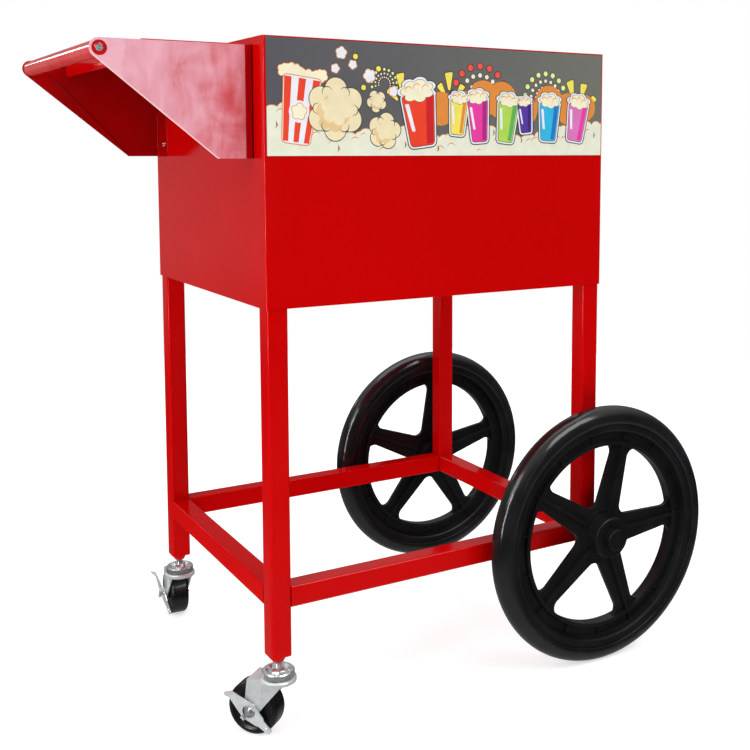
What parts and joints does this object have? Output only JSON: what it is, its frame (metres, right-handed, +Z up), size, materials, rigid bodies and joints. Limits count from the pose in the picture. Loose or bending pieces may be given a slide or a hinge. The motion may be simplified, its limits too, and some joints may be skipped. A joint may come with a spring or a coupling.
{
  "type": "popcorn cart",
  "caption": "Sheet-metal storage cart for a countertop popcorn machine, on large spoked wheels and braked casters, with a push handle, side shelf and rear door.",
  "frame": {"origin": "on the floor, under the centre of the whole cart's box", "axes": "+Z up, +X from the handle end to the big wheels, -Y out of the printed front"},
  "size_m": [0.956, 0.616, 0.952],
  "materials": {
    "red_paint": "high-gloss powder coat",
    "printed_panel": "printed film, glossy",
    "tyre": "smooth solid tyre, slightly glossy",
    "rim_plastic": "moulded, satin",
    "nylon": "natural nylon",
    "bright_steel": "turned, bright",
    "chrome_screw": "polished",
    "zinc_plate": "bright zinc plate",
    "knob_plastic": "glossy",
    "catch_plastic": "matt",
    "caster_rubber": "smooth, satin"
  },
  "bodies": {
    "frame": {"leg_front_left": "red_paint", "leg_rear_left": "red_paint", "leg_front_right": "red_paint", "leg_rear_right": "red_paint", "rail_front": "red_paint", "rail_rear": "red_paint", "rail_left": "red_paint", "rail_right": "red_paint", "caster_boss_front": "red_paint", "caster_boss_rear": "red_paint", "cabinet_shell": "red_paint", "cabinet_floor": "red_paint", "top_deck": "red_paint", "rear_surround": "red_paint", "graphic_panel": "printed_panel", "handle_bracket_front": "red_paint", "handle_bracket_rear": "red_paint", "push_handle": "red_paint", "handle_inserts": "bright_steel", "handle_screws": "chrome_screw", "bracket_screws": "chrome_screw", "side_shelf": "red_paint", "hinge_leaves_frame": "zinc_plate", "hinge_pins": "bright_steel", "door_catch": "catch_plastic", "wheel_axle": "bright_steel", "axle_spacers": "bright_steel", "axle_retainers": "zinc_plate", "caster_stem_front": "zinc_plate", "caster_balls_front": "bright_steel", "caster_stem_rear": "zinc_plate", "caster_balls_rear": "bright_steel"},
    "storage_door": {"rear_door": "red_paint", "hinge_leaves_door": "zinc_plate", "door_knob": "knob_plastic", "door_knob_screw": "chrome_screw"},
    "front_wheel": {"tyre_front": "tyre", "rim_front": "rim_plastic", "hub_bushes_front": "nylon", "hub_cap_front": "rim_plastic"},
    "rear_wheel": {"tyre_rear": "tyre", "rim_rear": "rim_plastic", "hub_bushes_rear": "nylon", "hub_cap_rear": "rim_plastic"},
    "front_caster": {"caster_fork_front": "zinc_plate", "caster_sleeve_front": "bright_steel", "caster_bolt_front": "zinc_plate", "caster_nut_front": "zinc_plate", "brake_pin_front": "bright_steel"},
    "front_caster_wheel": {"caster_wheel_front": "caster_rubber"},
    "front_brake_lever": {"brake_lever_front": "zinc_plate"},
    "rear_caster": {"caster_fork_rear": "zinc_plate", "caster_sleeve_rear": "bright_steel", "caster_bolt_rear": "zinc_plate", "caster_nut_rear": "zinc_plate", "brake_pin_rear": "bright_steel"},
    "rear_caster_wheel": {"caster_wheel_rear": "caster_rubber"},
    "rear_brake_lever": {"brake_lever_rear": "zinc_plate"}
  },
  "joints": [
    {"name": "storage_door_hinge", "type": "hinge", "parent": "frame", "child": "storage_door", "pos_m": [0.24477, 0.238, 0.773], "axis": [0, 0, -1], "range_deg": [0, 110]},
    {"name": "front_wheel_spin", "type": "hinge", "parent": "frame", "child": "front_wheel", "pos_m": [0.27477, -0.266, 0.2032], "axis": [0, 1, 0], "continuous": true},
    {"name": "rear_wheel_spin", "type": "hinge", "parent": "frame", "child": "rear_wheel", "pos_m": [0.27477, 0.266, 0.2032], "axis": [0, 1, 0], "continuous": true},
    {"name": "front_caster_swivel", "type": "hinge", "parent": "frame", "child": "front_caster", "pos_m": [-0.25172, -0.21825, 0.085], "axis": [0, 0, 1], "continuous": true},
    {"name": "front_caster_wheel_spin", "type": "hinge", "parent": "front_caster", "child": "front_caster_wheel", "pos_m": [-0.27358, -0.1922, 0.0375], "axis": [-0.766, -0.6428, 0], "continuous": true},
    {"name": "front_brake_lever_rock", "type": "hinge", "parent": "front_caster", "child": "front_brake_lever", "pos_m": [-0.29304, -0.20853, 0.0375], "axis": [-0.4465, 0.5321, -0.7193], "range_deg": [0, 12]},
    {"name": "rear_caster_swivel", "type": "hinge", "parent": "frame", "child": "rear_caster", "pos_m": [-0.25172, 0.21825, 0.085], "axis": [0, 0, 1], "continuous": true},
    {"name": "rear_caster_wheel_spin", "type": "hinge", "parent": "rear_caster", "child": "rear_caster_wheel", "pos_m": [-0.24935, 0.25217, 0.0375], "axis": [-0.9976, 0.0698, 0], "continuous": true},
    {"name": "rear_brake_lever_rock", "type": "hinge", "parent": "rear_caster", "child": "rear_brake_lever", "pos_m": [-0.27469, 0.25394, 0.0375], "axis": [0.0485, 0.693, -0.7193], "range_deg": [0, 12]}
  ]
}
